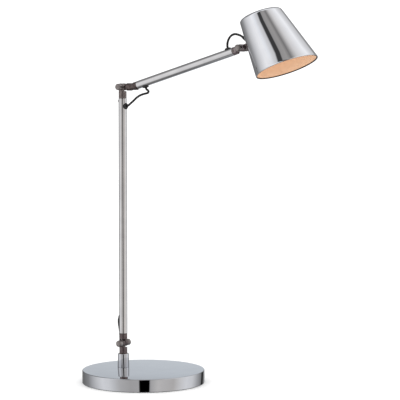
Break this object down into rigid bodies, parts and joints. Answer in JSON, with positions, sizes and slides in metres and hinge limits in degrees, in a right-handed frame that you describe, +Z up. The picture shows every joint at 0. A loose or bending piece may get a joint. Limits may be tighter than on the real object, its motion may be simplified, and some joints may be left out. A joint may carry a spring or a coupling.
{
  "type": "swing arm desk lamp",
  "caption": "Desk lamp with a weighted round base, swivelling post, hinged arm and tilting conical shade; friction hinges hold each pose.",
  "frame": {"origin": "on the table under the centre of the round base", "axes": "+Z up, +X from the base centre the way the arm points, hinge lines along Y with the near ears on -Y"},
  "size_m": [0.404, 0.19, 0.5744],
  "materials": {
    "polished_chrome": "polished chrome plate",
    "polished_tube": "polished nickel-chrome plate, slightly softer than the base",
    "gunmetal": "satin dark gunmetal plate",
    "black_rubber": "moulded matt rubber",
    "cable_jacket": "smooth extruded jacket",
    "cast_iron": "as cast",
    "zinc_steel": "zinc plated",
    "brass": "turned",
    "friction_disc": "pressed friction material",
    "white_enamel": "white baked enamel",
    "white_ceramic": "glazed ceramic",
    "bulb_glass": "frosted, lit"
  },
  "bodies": {
    "base": {"foot_pad": "black_rubber", "base_plate": "zinc_steel", "plate_screws": "zinc_steel", "base_weight": "cast_iron", "base_cover": "polished_chrome", "cord_gland": "black_rubber", "base_lead": "cable_jacket", "socket_sleeve": "polished_chrome", "socket_nut": "zinc_steel", "swivel_bush": "brass"},
    "swivel": {"swivel_fitting": "gunmetal", "swivel_clip": "zinc_steel", "lower_boot": "black_rubber", "lower_hinge_screw": "zinc_steel", "lower_near_cap": "gunmetal", "lower_far_cap": "gunmetal", "lower_friction_washer": "friction_disc", "lower_spring_washer": "zinc_steel", "lower_cable": "cable_jacket"},
    "post": {"post_lower_fitting": "gunmetal", "post_tube": "polished_tube", "post_lower_grommet": "black_rubber", "post_wire": "cable_jacket", "post_upper_grommet": "black_rubber", "post_upper_fitting": "gunmetal", "post_set_screws": "gunmetal", "elbow_hinge_screw": "zinc_steel", "elbow_near_cap": "gunmetal", "elbow_far_cap": "gunmetal", "elbow_friction_washer": "friction_disc", "elbow_spring_washer": "zinc_steel", "elbow_cable": "cable_jacket"},
    "arm": {"arm_lower_fitting": "gunmetal", "arm_tube": "polished_tube", "arm_lower_grommet": "black_rubber", "arm_wire": "cable_jacket", "arm_upper_grommet": "black_rubber", "arm_upper_fitting": "gunmetal", "arm_set_screws": "gunmetal", "head_hinge_screw": "zinc_steel", "head_near_cap": "gunmetal", "head_far_cap": "gunmetal", "head_friction_washer": "friction_disc", "head_spring_washer": "zinc_steel", "head_cable": "cable_jacket"},
    "head": {"head_bracket": "gunmetal", "bracket_screws": "zinc_steel", "clamp_plate": "zinc_steel", "head_strain_relief": "black_rubber", "shade": "polished_chrome", "shade_liner": "white_enamel", "holder_plate": "white_enamel", "lamp_holder": "white_ceramic", "holder_screws": "zinc_steel", "bulb_base": "white_ceramic", "bulb_pins": "zinc_steel", "bulb_glass": "bulb_glass", "shade_wire": "cable_jacket"}
  },
  "joints": [
    {"name": "base_swivel", "type": "hinge", "parent": "base", "child": "swivel", "pos_m": [-0.039, 0, 0.03], "axis": [0, 0, 1], "range_deg": [-170, 170]},
    {"name": "lower_tilt", "type": "hinge", "parent": "swivel", "child": "post", "pos_m": [-0.039, 0, 0.0579], "axis": [0, 1, 0], "range_deg": [-30, 60], "deforming": ["lower_cable"]},
    {"name": "elbow", "type": "hinge", "parent": "post", "child": "arm", "pos_m": [-0.039, 0, 0.4579], "axis": [0, -1, 0], "range_deg": [-20, 35], "deforming": ["elbow_cable"]},
    {"name": "head_tilt", "type": "hinge", "parent": "arm", "child": "head", "pos_m": [0.18159, 0, 0.51527], "axis": [0, -1, 0], "range_deg": [-75, 60], "deforming": ["head_cable"]}
  ]
}
